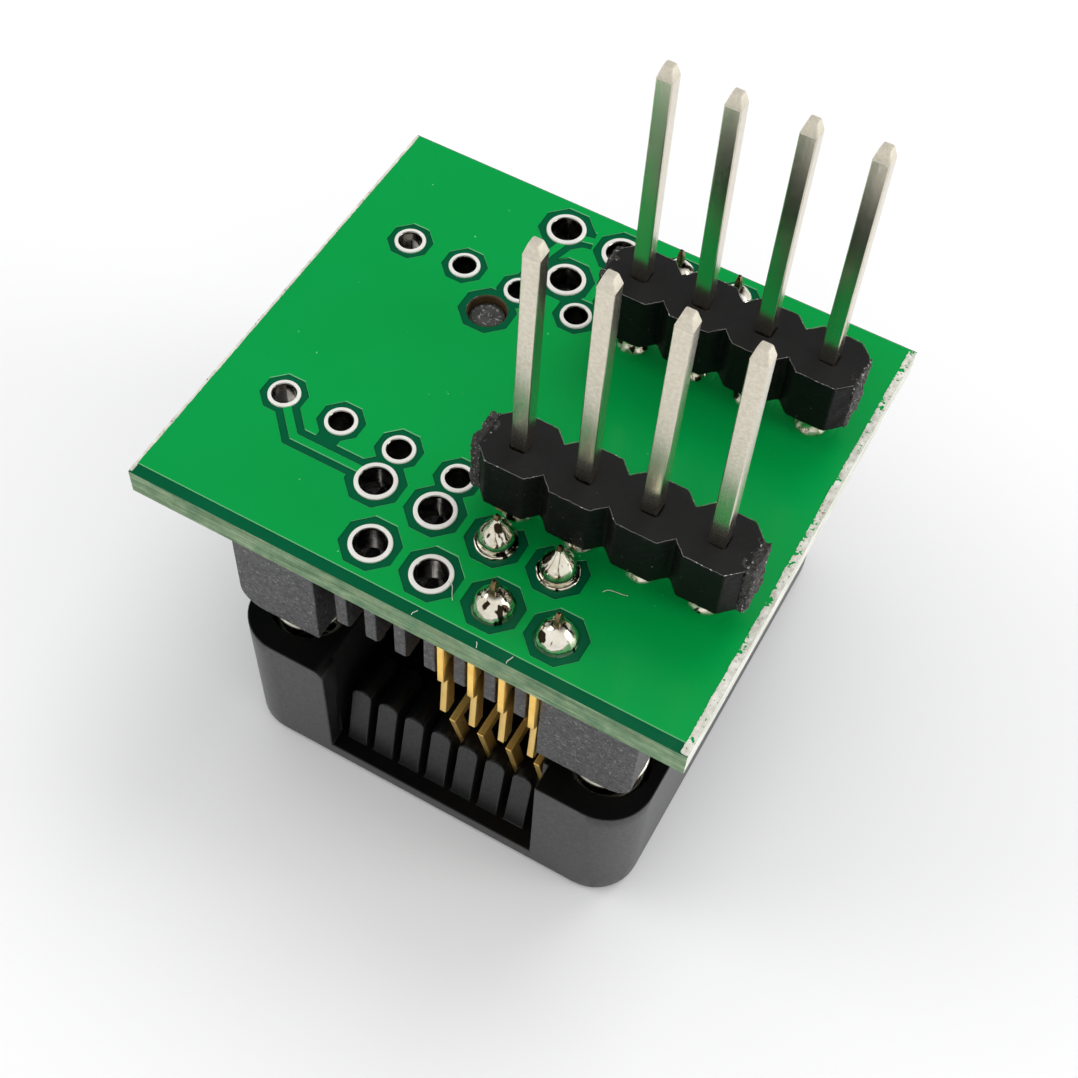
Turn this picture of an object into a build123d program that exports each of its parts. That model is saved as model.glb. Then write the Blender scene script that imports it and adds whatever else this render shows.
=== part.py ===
from build123d import *
from math import cos, pi, radians, sin, tan
import os

os.makedirs("parts", exist_ok=True)

# Adapter that carries a small-outline chip on long header pins. It stands upside down, as it is
# kept on a bench: socket cover below, circuit board above it, pins up. Sizes are in millimetres.
# Z is 0 on the outer face of the cover, X runs along the header rows, and front is at -Y.
FRONT = -1
BACK = 1
SIDES = (FRONT, BACK)
ENDS = (-1, 1)

# Heights, from the floor up
COVER_HEIGHT = 7.2
PRESS_TRAVEL = 1.65
PRESS_SPARE = 0.05
BLOCK_HEIGHT = 5.3
BASE_PLATE = 2.0
BOARD_THICKNESS = 1.2
BLOCK_BOTTOM = COVER_HEIGHT + PRESS_TRAVEL + PRESS_SPARE
BOARD_BOTTOM = BLOCK_BOTTOM + BLOCK_HEIGHT
PLATE_BOTTOM = BOARD_BOTTOM - BASE_PLATE
BOARD_TOP = BOARD_BOTTOM + BOARD_THICKNESS

# Number of flats of a small round hole, ring or joint
ROUND_SIDES = 16

# Circuit board, 0.9 by 0.8 inch: it covers the socket base with a narrow overhang
BASE_HALF_WIDTH = 9.8
BOARD_OVERHANG = 0.36
BOARD_LENGTH = 22.86
BOARD_WIDTH = 2 * (BASE_HALF_WIDTH + BOARD_OVERHANG)
BOARD_Y = -0.165
COPPER = 0.04
PAD_THICKNESS = 0.06

# Header rows: eight places, the last four of them fitted
HEADER_PITCH = 2.54
HEADER_PLACES = 8
FITTED_HEADERS = range(4, 8)
HEADER_X = 0.34
HEADER_Y = 0.1
HEADER_ROW_SPACING = 9.1
SMALL_HOLE = 0.94
SMALL_PAD = 1.28

# Socket contacts: eight places a side, the last four of them fitted
SOCKET_X = 1.0
CONTACT_PITCH = 1.27
CONTACT_PLACES = 8
FITTED_CONTACTS = range(4, 8)
INNER_ROW = 6.1
OUTER_ROW = 8.5
LARGE_HOLE = 1.25
LARGE_PAD = 1.64

# Locating pegs of the socket base, one near each end
PEG_X = 5.06
PEG_Y = 3.1
PEG_DIAMETER = 1.45
PEG_HOLE = 1.66
PEG_HEIGHT = 0.85

# Copper layer on the solder face
POUR_MARGIN = 0.05
POUR_FRONT_MARGIN = 0.45
SMALL_CLEARANCE = 1.76
LARGE_CLEARANCE = 2.2
TRACE_WIDTH = 0.33
TRACE_GAP = 0.3
FRONT_TRACE_RUN = 1.4
FRONT_TRACE_DROP = 0.16
SLIVER_WIDTH = 0.9
BACK_TRACE_RUN = 0.9
BACK_TRACE_DROP = 0.2
BACK_TRACE_TURN = 1.6


def header_x(place):
    return HEADER_X + (place - (HEADER_PLACES - 1) / 2) * HEADER_PITCH


def header_y(side):
    return HEADER_Y + side * HEADER_ROW_SPACING / 2


def contact_x(place):
    return SOCKET_X + (place - (CONTACT_PLACES - 1) / 2) * CONTACT_PITCH


def tail_row(side, place):
    """Distance of a contact's tail from the socket's centre line: the tails are staggered."""
    inner = (place % 2 == 0) == (side == FRONT)
    return INNER_ROW if inner else OUTER_ROW


def side_plane(side, x):
    """Upright plane across the socket, with its first axis outwards and its second one up."""
    return Plane(origin=(x, 0, 0), x_dir=(0, side, 0), z_dir=(side, 0, 0))


SMALL_POINTS = [(header_x(place), header_y(side)) for side in SIDES for place in range(HEADER_PLACES)]
LARGE_POINTS = [
    (contact_x(place), side * tail_row(side, place)) for side in SIDES for place in range(CONTACT_PLACES)
]
EMPTY_SMALL = [
    (header_x(place), header_y(side)) for side in SIDES for place in range(FITTED_HEADERS.start)
]
EMPTY_LARGE = [
    (contact_x(place), side * tail_row(side, place))
    for side in SIDES
    for place in range(FITTED_CONTACTS.start)
]
PEG_POINTS = [(SOCKET_X + end * PEG_X, -end * PEG_Y) for end in ENDS]


def small_round(diameter, mode=Mode.ADD):
    """Small round outline with sixteen flats, because the part repeats it over a hundred times."""
    RegularPolygon(diameter / 2, ROUND_SIDES, major_radius=False, rotation=180 / ROUND_SIDES, mode=mode)


def save(builder, name):
    builder.part.label = name
    export_step(builder.part, f"parts/{name}.step")


# Circuit board with its plated holes and the two peg holes
with BuildPart() as circuit_board:
    with BuildSketch(Plane.XY.offset(BOARD_BOTTOM)):
        with Locations((0, BOARD_Y)):
            Rectangle(BOARD_LENGTH, BOARD_WIDTH)
        with Locations(*SMALL_POINTS):
            small_round(SMALL_HOLE, Mode.SUBTRACT)
        with Locations(*LARGE_POINTS):
            small_round(LARGE_HOLE, Mode.SUBTRACT)
        with Locations(*PEG_POINTS):
            small_round(PEG_HOLE, Mode.SUBTRACT)
    extrude(amount=BOARD_THICKNESS)
save(circuit_board, "circuit_board")

# Copper layer: a pour with eight-sided clearances round the holes, and two traces cut free in it
OCTAGON_TURN = 22.5
POUR_LENGTH = BOARD_LENGTH - 2 * POUR_MARGIN
POUR_WIDTH = BOARD_WIDTH - POUR_MARGIN - POUR_FRONT_MARGIN
POUR_Y = BOARD_Y + (POUR_FRONT_MARGIN - POUR_MARGIN) / 2
FRONT_TRACE = [
    (header_x(0), header_y(FRONT)),
    (header_x(0) + FRONT_TRACE_RUN, FRONT_TRACE_DROP - INNER_ROW),
    (contact_x(0), FRONT_TRACE_DROP - INNER_ROW),
]
BACK_TRACE = [
    (contact_x(1), OUTER_ROW),
    (contact_x(1) - BACK_TRACE_RUN, OUTER_ROW - BACK_TRACE_DROP),
    (header_x(2), OUTER_ROW - BACK_TRACE_TURN),
    (header_x(2), header_y(BACK)),
]
with BuildPart() as copper_pour:
    with BuildSketch(Plane.XY.offset(BOARD_TOP)):
        with Locations((0, POUR_Y)):
            Rectangle(POUR_LENGTH, POUR_WIDTH)
        for route in (FRONT_TRACE, BACK_TRACE):
            with BuildLine():
                Polyline(*route)
            trace(line_width=TRACE_WIDTH + 2 * TRACE_GAP, mode=Mode.SUBTRACT)
        with Locations(*SMALL_POINTS):
            RegularPolygon(SMALL_CLEARANCE / 2, 8, major_radius=False, rotation=OCTAGON_TURN,
                           mode=Mode.SUBTRACT)
        with Locations(*LARGE_POINTS):
            RegularPolygon(LARGE_CLEARANCE / 2, 8, major_radius=False, rotation=OCTAGON_TURN,
                           mode=Mode.SUBTRACT)
        with Locations(*PEG_POINTS):
            RegularPolygon(LARGE_CLEARANCE / 2, 8, major_radius=False, rotation=OCTAGON_TURN,
                           mode=Mode.SUBTRACT)
        # The sliver between the second hole and the front trace is too thin to stay
        with Locations((header_x(1), (header_y(FRONT) - INNER_ROW) / 2)):
            Rectangle(SLIVER_WIDTH, header_y(FRONT) + INNER_ROW, mode=Mode.SUBTRACT)
        for route in (FRONT_TRACE, BACK_TRACE):
            with BuildLine():
                Polyline(*route)
            trace(line_width=TRACE_WIDTH)
        with Locations(*SMALL_POINTS):
            small_round(SMALL_PAD, Mode.SUBTRACT)
        with Locations(*LARGE_POINTS):
            small_round(LARGE_PAD, Mode.SUBTRACT)
    extrude(amount=COPPER)
save(copper_pour, "copper_pour")

# Bare tinned rings round the plated holes that stay empty
with BuildPart() as hole_pads:
    with BuildSketch(Plane.XY.offset(BOARD_TOP)):
        with Locations(*EMPTY_SMALL):
            small_round(SMALL_PAD)
            small_round(SMALL_HOLE, Mode.SUBTRACT)
        with Locations(*EMPTY_LARGE):
            small_round(LARGE_PAD)
            small_round(LARGE_HOLE, Mode.SUBTRACT)
    extrude(amount=PAD_THICKNESS)
save(hole_pads, "hole_pads")

# Header strips: four cut-cornered cells in a row, with the necks where they were snapped off
PIN_SIZE = 0.64
STRIP_LIFT = 1.4
STRIP_HEIGHT = 2.54
STRIP_DEPTH = 2.5
CELL_CORNER = 0.5
NECK_WIDTH = 1.5
STRIP_BOTTOM = BOARD_TOP + STRIP_LIFT
STRIP_TOP = STRIP_BOTTOM + STRIP_HEIGHT
NECK_LENGTHS = {FRONT: (0.34, 0.3), BACK: (0.16, 0.06)}


def header_strip(side):
    y = header_y(side)
    first = header_x(FITTED_HEADERS[0]) - HEADER_PITCH / 2
    last = header_x(FITTED_HEADERS[-1]) + HEADER_PITCH / 2
    left_neck, right_neck = NECK_LENGTHS[side]
    with BuildPart() as strip:
        with BuildSketch(Plane.XY.offset(STRIP_BOTTOM)):
            for place in FITTED_HEADERS:
                with BuildSketch(mode=Mode.PRIVATE) as cell:
                    with Locations((header_x(place), y)):
                        Rectangle(HEADER_PITCH, STRIP_DEPTH)
                    chamfer(cell.vertices(), CELL_CORNER)
                add(cell.sketch)
            with Locations((first - left_neck / 2, y)):
                Rectangle(left_neck, NECK_WIDTH)
            with Locations((last + right_neck / 2, y)):
                Rectangle(right_neck, NECK_WIDTH)
            with Locations(*[(header_x(place), y) for place in FITTED_HEADERS]):
                Rectangle(PIN_SIZE, PIN_SIZE, mode=Mode.SUBTRACT)
        extrude(amount=STRIP_HEIGHT)
    return strip


# Header pins: square bars from inside the board to a tapered tip, none of them quite upright
PIN_RECESS = 0.1
PIN_BOTTOM = BOARD_BOTTOM + PIN_RECESS
PIN_TOP = 29.46
TIP_TAPER = 0.5
TIP_ANGLE = 15.6
PIN_LEAN = {
    FRONT: ((0.06, 0.05), (0.02, 0.06), (0.11, -0.04), (0.0, -0.05)),
    BACK: ((0.0, -0.11), (-0.09, -0.09), (-0.04, 0.06), (-0.12, 0.17)),
}


def header_pin(side, index):
    x = header_x(FITTED_HEADERS[index])
    y = header_y(side)
    lean_x, lean_y = PIN_LEAN[side][index]
    shoulder = PIN_TOP - TIP_TAPER
    lean = Vector(lean_x, lean_y, shoulder - STRIP_TOP)
    with BuildPart() as pin:
        with BuildSketch(Plane.XY.offset(PIN_BOTTOM)):
            with Locations((x, y)):
                Rectangle(PIN_SIZE, PIN_SIZE)
        extrude(amount=STRIP_TOP - PIN_BOTTOM)
        with BuildSketch(Plane.XY.offset(STRIP_TOP)):
            with Locations((x, y)):
                Rectangle(PIN_SIZE, PIN_SIZE)
        extrude(amount=lean.length, dir=lean)
        with BuildSketch(Plane.XY.offset(shoulder)):
            with Locations((x + lean_x, y + lean_y)):
                Rectangle(PIN_SIZE, PIN_SIZE)
        extrude(amount=TIP_TAPER, taper=TIP_ANGLE)
    return pin


# Header solder: a cone that climbs each pin up to the strip
FILLET_HEIGHT = 1.3
FILLET_ANGLE = 6.0


def header_solder(side):
    points = [(header_x(place), header_y(side)) for place in FITTED_HEADERS]
    with BuildPart() as fillets:
        with BuildSketch(Plane.XY.offset(BOARD_TOP)):
            with Locations(*points):
                small_round(SMALL_PAD)
        extrude(amount=FILLET_HEIGHT, taper=FILLET_ANGLE)
        with BuildSketch(Plane.XY.offset(BOARD_TOP)):
            with Locations(*points):
                Rectangle(PIN_SIZE, PIN_SIZE)
        extrude(amount=FILLET_HEIGHT, mode=Mode.SUBTRACT)
    return fillets


# Contacts: one stamped blade each, seen from the side. A C-shaped spring carries a lever: its
# inner end grips the chip's lead, and its outer end turns down into a finger that the cover lifts.
CONTACT_THICKNESS = 0.28
ROOT_INNER = 5.3
POST_OUTER = 10.05
POST_OUTLINE = (
    (0.0, PLATE_BOTTOM),
    (0.0, 11.1),
    (0.3, 10.85),
    (0.15, 8.5),
    (0.35, 8.3),
    (0.8, 8.4),
    (0.9, PLATE_BOTTOM),
)
TAIL_WIDTH = 0.5
TAIL_RISE = 1.5
TAIL_POINT = 0.2
BEAM_WIDTH = 0.5
BEAM_OVERLAP = 0.2
BEAM_ROOT = (5.65, PLATE_BOTTOM + BEAM_OVERLAP)
BEAM_BULGE = (7.2, 9.4)
BEAM_FOOT = (5.95, 6.3)
BEAM_RUNS = 6
ARM_TOP = 6.55
ARM_DEPTH = 0.62
LEAD_TIP = (2.75, 7.05)
LEAD_LAND = 0.35
LEAD_RAMP = 0.45
LEAD_HEEL = 0.5
LEAD_NOSE = 0.1
ELBOW = 9.2
FINGER_SLOPE = 0.25
FINGER_WIDTH = 0.58
COVER_PLATE = 1.0
FINGER_FIT = 0.03
FINGER_END = COVER_PLATE + FINGER_FIT


def contact(side, index):
    place = FITTED_CONTACTS[index]
    row = tail_row(side, place)
    tail_top = BOARD_TOP + TAIL_RISE
    arm_bottom = ARM_TOP - ARM_DEPTH
    finger_foot = ELBOW - FINGER_SLOPE * (ARM_TOP - FINGER_END)
    finger_root = ELBOW - FINGER_SLOPE * ARM_DEPTH - FINGER_WIDTH
    with BuildPart() as blade:
        with BuildSketch(side_plane(side, contact_x(place)).offset(-CONTACT_THICKNESS / 2)):
            with Locations(((ROOT_INNER + POST_OUTER) / 2, (PLATE_BOTTOM + BOARD_BOTTOM) / 2)):
                Rectangle(POST_OUTER - ROOT_INNER, BASE_PLATE)
            with BuildLine():
                Polyline(*[(POST_OUTER - inset, height) for inset, height in POST_OUTLINE], close=True)
            make_face()
            with BuildLine():
                Polyline(
                    (row - TAIL_WIDTH / 2, BOARD_BOTTOM),
                    (row - TAIL_WIDTH / 2, tail_top - TAIL_POINT),
                    (row - TAIL_WIDTH / 4, tail_top),
                    (row + TAIL_WIDTH / 4, tail_top),
                    (row + TAIL_WIDTH / 2, tail_top - TAIL_POINT),
                    (row + TAIL_WIDTH / 2, BOARD_BOTTOM),
                    close=True,
                )
            make_face()
            with BuildLine():
                bend = ThreePointArc(BEAM_ROOT, BEAM_BULGE, BEAM_FOOT, mode=Mode.PRIVATE)
                Polyline(*[bend @ (run / BEAM_RUNS) for run in range(BEAM_RUNS + 1)])
            trace(line_width=BEAM_WIDTH)
            with BuildLine():
                Polyline(
                    LEAD_TIP,
                    (LEAD_TIP[0] + LEAD_LAND, LEAD_TIP[1]),
                    (LEAD_TIP[0] + LEAD_LAND + LEAD_RAMP, ARM_TOP),
                    (ELBOW, ARM_TOP),
                    (finger_foot, FINGER_END),
                    (finger_foot - FINGER_WIDTH, FINGER_END),
                    (finger_root, arm_bottom),
                    (LEAD_TIP[0] + LEAD_HEEL, arm_bottom),
                    (LEAD_TIP[0] - LEAD_NOSE, ARM_TOP - LEAD_NOSE),
                    close=True,
                )
            make_face()
        extrude(amount=CONTACT_THICKNESS)
    return blade


# Socket solder: a joint on each contact tail, round and low in the outer row and peaked in the
# inner one, with the end of the tail poking out of it. Foot height and angle, then those of the cap.
OUTER_DOME = (0.55, 4.0, 0.5, 42.0)
INNER_DOME = (0.6, 13.0, 0.75, 30.0)


def dome_shoulder(foot, foot_angle):
    """Width of a joint where its foot ends and its cap begins."""
    return LARGE_PAD - 2 * foot * tan(radians(foot_angle))


def socket_solder(side):
    with BuildPart() as domes:
        for place in FITTED_CONTACTS:
            row = tail_row(side, place)
            foot, foot_angle, cap, cap_angle = INNER_DOME if row == INNER_ROW else OUTER_DOME
            with BuildSketch(Plane.XY.offset(BOARD_TOP)):
                with Locations((contact_x(place), side * row)):
                    small_round(LARGE_PAD)
            extrude(amount=foot, taper=foot_angle)
            with BuildSketch(Plane.XY.offset(BOARD_TOP + foot)):
                with Locations((contact_x(place), side * row)):
                    small_round(dome_shoulder(foot, foot_angle))
            extrude(amount=cap, taper=cap_angle)
            with BuildSketch(Plane.XY.offset(BOARD_TOP)):
                with Locations((contact_x(place), side * row)):
                    Rectangle(CONTACT_THICKNESS, TAIL_WIDTH)
            extrude(amount=foot + cap, mode=Mode.SUBTRACT)
    return domes


# Socket base: end blocks, a middle platform with the chip seat, and combs between the contacts
BASE_HALF_LENGTH = 8.565
BLOCK_ROUND = 1.0
FIELD_SHORT = 4.62
FIELD_LONG = 4.98
PLATFORM_HALF_LENGTH = 6.4
PLATFORM_HALF_WIDTH = 5.0
PLATFORM_BOTTOM = 7.5
SEAT_HALF_LENGTH = 4.95
SEAT_HALF_WIDTH = 1.9
PLATFORM_DRAFT = 10.0
SEAT_RISE = 0.3
RIB_THICKNESS = 0.5
RIB_SETBACK = 0.02
RIB_OUTER = BASE_HALF_WIDTH - RIB_SETBACK
RIB_BOTTOM = 10.7
RIB_OVERLAP = 0.1
RIB_FOOT_INSET = 0.25
RIB_FOOT_RISE = 0.35
COMB_INNER = 7.4
SLOT_FIT = 0.03
COVER_HALF_LENGTH = 9.08
COVER_HALF_WIDTH = 10.4
SPRING_INSET_X = 2.23
SPRING_INSET_Y = 2.7
SPRING_X = COVER_HALF_LENGTH - SPRING_INSET_X
SPRING_Y = COVER_HALF_WIDTH - SPRING_INSET_Y
STUD_DIAMETER = 2.1
STUD_LENGTH = 1.0
CATCH_HALF_WIDTH = 2.3
CATCH_FLOOR = 7.6
CATCH_LEDGE = 8.15
CATCH_TOP = 10.6
CATCH_ROOF = 13.6


def field_span(side):
    """The slot field is longer at one end, and the back is the front turned by half a turn."""
    if side == FRONT:
        return SOCKET_X - FIELD_LONG, SOCKET_X + FIELD_SHORT
    return SOCKET_X - FIELD_SHORT, SOCKET_X + FIELD_LONG


SPRING_POINTS = [(SOCKET_X + end * SPRING_X, side * SPRING_Y) for side in SIDES for end in ENDS]

with BuildPart() as socket_base:
    # Blocks and plate in one front outline with rounded lower corners
    with BuildSketch(Plane.XZ.offset(-BASE_HALF_WIDTH)) as front_outline:
        with Locations((SOCKET_X, BOARD_BOTTOM)):
            Rectangle(2 * BASE_HALF_LENGTH, BLOCK_HEIGHT, align=(Align.CENTER, Align.MAX))
        fillet(front_outline.vertices().group_by(Axis.Y)[0], BLOCK_ROUND)
    extrude(amount=2 * BASE_HALF_WIDTH)
    # Room for the contacts on both sides: open below, and slotted through at the outer edge
    for side in SIDES:
        start, end = field_span(side)
        with BuildSketch(side_plane(side, start if side == BACK else end)):
            with BuildLine():
                Polyline(
                    (PLATFORM_HALF_WIDTH, BLOCK_BOTTOM),
                    (PLATFORM_HALF_WIDTH, PLATE_BOTTOM),
                    (COMB_INNER, PLATE_BOTTOM),
                    (COMB_INNER, BOARD_BOTTOM),
                    (BASE_HALF_WIDTH, BOARD_BOTTOM),
                    (BASE_HALF_WIDTH, BLOCK_BOTTOM),
                    close=True,
                )
            make_face()
        extrude(amount=end - start, mode=Mode.SUBTRACT)
    # Platform that reaches down to the chip, narrower at its foot, and the seat for the chip body
    with BuildSketch(Plane.XY.offset(BLOCK_BOTTOM)):
        with Locations((SOCKET_X, 0)):
            Rectangle(2 * PLATFORM_HALF_LENGTH, 2 * PLATFORM_HALF_WIDTH)
    extrude(amount=-(BLOCK_BOTTOM - PLATFORM_BOTTOM), taper=PLATFORM_DRAFT)
    with BuildSketch(Plane.XY.offset(PLATFORM_BOTTOM)):
        with Locations((SOCKET_X, 0)):
            Rectangle(2 * SEAT_HALF_LENGTH, 2 * SEAT_HALF_WIDTH)
    extrude(amount=-SEAT_RISE)
    # Comb ribs between neighbouring contacts, with a slanted foot
    for side in SIDES:
        for gap in range(CONTACT_PLACES - 1):
            rib_x = (contact_x(gap) + contact_x(gap + 1)) / 2
            with BuildSketch(side_plane(side, rib_x).offset(-RIB_THICKNESS / 2)):
                with BuildLine():
                    Polyline(
                        (PLATFORM_HALF_WIDTH - RIB_OVERLAP, BOARD_BOTTOM),
                        (PLATFORM_HALF_WIDTH - RIB_OVERLAP, RIB_BOTTOM),
                        (RIB_OUTER - RIB_FOOT_INSET, RIB_BOTTOM),
                        (RIB_OUTER, RIB_BOTTOM + RIB_FOOT_RISE),
                        (RIB_OUTER, BOARD_BOTTOM),
                        close=True,
                    )
                make_face()
            extrude(amount=RIB_THICKNESS)
    # Narrow slots that hold the contact roots
    with BuildSketch(Plane.XY.offset(PLATE_BOTTOM)):
        for side in SIDES:
            for place in range(CONTACT_PLACES):
                with Locations((contact_x(place), side * (ROOT_INNER + COMB_INNER) / 2)):
                    Rectangle(CONTACT_THICKNESS + 2 * SLOT_FIT, COMB_INNER - ROOT_INNER)
    extrude(amount=BASE_PLATE, mode=Mode.SUBTRACT)
    # Catch recess in each end: the ledge at its mouth stops the cover's hook
    for end in ENDS:
        floor = SOCKET_X + end * CATCH_FLOOR
        ledge = SOCKET_X + end * CATCH_LEDGE
        outside = SOCKET_X + end * BASE_HALF_LENGTH
        with BuildSketch(Plane.XZ.offset(-CATCH_HALF_WIDTH)):
            with BuildLine():
                Polyline(
                    (ledge, BLOCK_BOTTOM),
                    (ledge, CATCH_TOP),
                    (floor, CATCH_TOP),
                    (floor, CATCH_ROOF),
                    (outside, CATCH_ROOF),
                    (outside, BLOCK_BOTTOM),
                    close=True,
                )
            make_face()
        extrude(amount=2 * CATCH_HALF_WIDTH, mode=Mode.SUBTRACT)
    # Studs that centre the springs, and the two pegs in the board
    with BuildSketch(Plane.XY.offset(BLOCK_BOTTOM)):
        with Locations(*SPRING_POINTS):
            small_round(STUD_DIAMETER)
    extrude(amount=-STUD_LENGTH)
    with BuildSketch(Plane.XY.offset(BOARD_BOTTOM)):
        with Locations(*PEG_POINTS):
            small_round(PEG_DIAMETER)
    extrude(amount=PEG_HEIGHT)
save(socket_base, "socket_base")

# Socket cover: a rounded tray with a chip opening, side windows, combs, spring bores and hooks
COVER_CORNER = 2.0
COVER_DRAFT = 0.8
FLOOR_CHAMFER = 0.25
END_WALL_INNER = 8.2
CORNER_INNER_X = 4.75
CORNER_INNER_Y = 5.6
SIDE_WALL_INNER = 9.4
WINDOW_ROUND = 0.45
MOUTH_HALF_LENGTH = 5.3
MOUTH_HALF_WIDTH = 3.4
MOUTH_LEAD_IN = 0.8
GUIDE_THICKNESS = 0.8
GUIDE_HEIGHT = 3.9
TOOTH_WIDTH = 0.92
TOOTH_TOP = 4.3
TOOTH_INNER = 7.0
TOOTH_OUTER_FOOT = 9.6
TOOTH_OUTER_TOP = 8.95
BORE_RADIUS = 1.7
BORE_FLOOR = 1.9
HOOK_HALF_WIDTH = 2.0
HOOK_NOSE = 7.75
HOOK_NOSE_HEIGHT = 0.4
HOOK_TOP = 11.8
HOOK_FIT = 0.03
CUT_SPARE = 0.2


def window_span(side):
    """Each side window is longer at the end where the slot field above it is shorter."""
    if side == FRONT:
        return SOCKET_X - FIELD_SHORT, SOCKET_X + FIELD_LONG
    return SOCKET_X - FIELD_LONG, SOCKET_X + FIELD_SHORT


with BuildPart() as socket_cover:
    # Outer form, slightly narrower at the floor
    with BuildSketch(Plane.XY.offset(COVER_HEIGHT)):
        with Locations((SOCKET_X, 0)):
            RectangleRounded(2 * COVER_HALF_LENGTH, 2 * COVER_HALF_WIDTH, COVER_CORNER)
    extrude(amount=-COVER_HEIGHT, taper=COVER_DRAFT)
    chamfer(socket_cover.faces().sort_by(Axis.Z)[0].edges(), FLOOR_CHAMFER)
    # Cross-shaped inside that leaves a block in each corner
    with BuildSketch(Plane.XY.offset(COVER_PLATE)):
        with Locations((SOCKET_X, 0)):
            Rectangle(2 * END_WALL_INNER, 2 * CORNER_INNER_Y)
            Rectangle(2 * CORNER_INNER_X, 2 * SIDE_WALL_INNER)
    extrude(amount=COVER_HEIGHT - COVER_PLATE, mode=Mode.SUBTRACT)
    # Side windows, open at the rim, with one rounded upper corner
    for side in SIDES:
        start, end = window_span(side)
        rounded = start if side == FRONT else end
        with BuildSketch(Plane.XY.offset(COVER_PLATE)):
            with Locations(((start + end) / 2, side * (SIDE_WALL_INNER + COVER_HALF_WIDTH) / 2)):
                Rectangle(end - start, COVER_HALF_WIDTH - SIDE_WALL_INNER + CUT_SPARE)
        extrude(amount=COVER_HEIGHT - COVER_PLATE, mode=Mode.SUBTRACT)
        corner = Vector(rounded, side * COVER_HALF_WIDTH, COVER_HEIGHT)
        rim_edges = socket_cover.edges().filter_by(Axis.Y).group_by(Axis.Z)[-1]
        rounded_edge = rim_edges.sort_by(lambda edge: (edge.center() - corner).length)[0]
        fillet(rounded_edge, WINDOW_ROUND)
    # Chip opening through the floor plate, with guide walls inside and a lead-in outside
    with BuildSketch(Plane.XY.offset(COVER_PLATE)):
        with Locations((SOCKET_X, 0)):
            Rectangle(
                2 * (MOUTH_HALF_LENGTH + GUIDE_THICKNESS), 2 * (MOUTH_HALF_WIDTH + GUIDE_THICKNESS)
            )
    extrude(amount=GUIDE_HEIGHT - COVER_PLATE)
    with BuildSketch():
        with Locations((SOCKET_X, 0)):
            Rectangle(2 * MOUTH_HALF_LENGTH, 2 * MOUTH_HALF_WIDTH)
    extrude(amount=GUIDE_HEIGHT, mode=Mode.SUBTRACT)
    with BuildSketch():
        with Locations((SOCKET_X, 0)):
            Rectangle(2 * (MOUTH_HALF_LENGTH + MOUTH_LEAD_IN), 2 * (MOUTH_HALF_WIDTH + MOUTH_LEAD_IN))
    extrude(amount=MOUTH_LEAD_IN, taper=45, mode=Mode.SUBTRACT)
    # Combs whose round-topped teeth stand between the contact fingers, with a slanted outer face
    for side in SIDES:
        round_centre = TOOTH_TOP - TOOTH_WIDTH / 2
        with BuildSketch(Plane.XZ.offset(-side * TOOTH_INNER)):
            for gap in range(CONTACT_PLACES - 1):
                tooth_x = (contact_x(gap) + contact_x(gap + 1)) / 2
                with Locations((tooth_x, COVER_PLATE)):
                    Rectangle(TOOTH_WIDTH, round_centre - COVER_PLATE, align=(Align.CENTER, Align.MIN))
                with Locations((tooth_x, round_centre)):
                    small_round(TOOTH_WIDTH)
        extrude(amount=-side * (TOOTH_OUTER_FOOT - TOOTH_INNER))
        with BuildSketch(side_plane(side, SOCKET_X).offset(-CORNER_INNER_X)):
            with BuildLine():
                Polyline(
                    (TOOTH_OUTER_FOOT, COVER_PLATE),
                    (TOOTH_OUTER_TOP, TOOTH_TOP),
                    (TOOTH_OUTER_FOOT, TOOTH_TOP),
                    close=True,
                )
            make_face()
        extrude(amount=2 * CORNER_INNER_X, mode=Mode.SUBTRACT)
    # Bores for the springs
    with Locations(*[(x, y, COVER_HEIGHT) for x, y in SPRING_POINTS]):
        Hole(BORE_RADIUS, COVER_HEIGHT - BORE_FLOOR)
    # Hooks that catch the base
    for end in ENDS:
        inner = SOCKET_X + end * END_WALL_INNER
        outer = SOCKET_X + end * COVER_HALF_LENGTH
        nose = SOCKET_X + end * HOOK_NOSE
        with BuildSketch(Plane.XZ.offset(-HOOK_HALF_WIDTH)):
            with BuildLine():
                Polyline(
                    (inner, COVER_HEIGHT),
                    (inner, CATCH_TOP + HOOK_FIT),
                    (nose, CATCH_TOP + HOOK_FIT),
                    (nose, CATCH_TOP + HOOK_FIT + HOOK_NOSE_HEIGHT),
                    (inner, HOOK_TOP),
                    (outer, HOOK_TOP),
                    (outer, COVER_HEIGHT),
                    close=True,
                )
            make_face()
        extrude(amount=2 * HOOK_HALF_WIDTH)
save(socket_cover, "socket_cover")

# Cover springs: round bores hold them below, studs centre them above
WIRE = 0.26
COIL_RADIUS = 1.39
COIL_PITCH = 1.15
COIL_RUNS = 12
SPRING_FIT = 0.01
SPRING_LENGTH = BLOCK_BOTTOM - BORE_FLOOR - 2 * SPRING_FIT


def cover_spring(x, y):
    """Square-section wire in twelve straight runs to the turn."""
    first_z = BORE_FLOOR + SPRING_FIT + WIRE / 2
    runs = round((SPRING_LENGTH - WIRE) / COIL_PITCH * COIL_RUNS)
    turning = [run * 2 * pi / COIL_RUNS for run in range(runs + 1)]
    climb = COIL_PITCH / (2 * pi)
    route = [
        (x + COIL_RADIUS * cos(turn), y + COIL_RADIUS * sin(turn), first_z + climb * turn)
        for turn in turning
    ]
    with BuildPart() as spring:
        with BuildLine() as wire_path:
            Polyline(*route)
        with BuildSketch(Plane(origin=wire_path.line @ 0, x_dir=(1, 0, 0), z_dir=wire_path.line % 0)):
            Rectangle(WIRE, WIRE)
        sweep(transition=Transition.RIGHT)
    return spring


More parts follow.
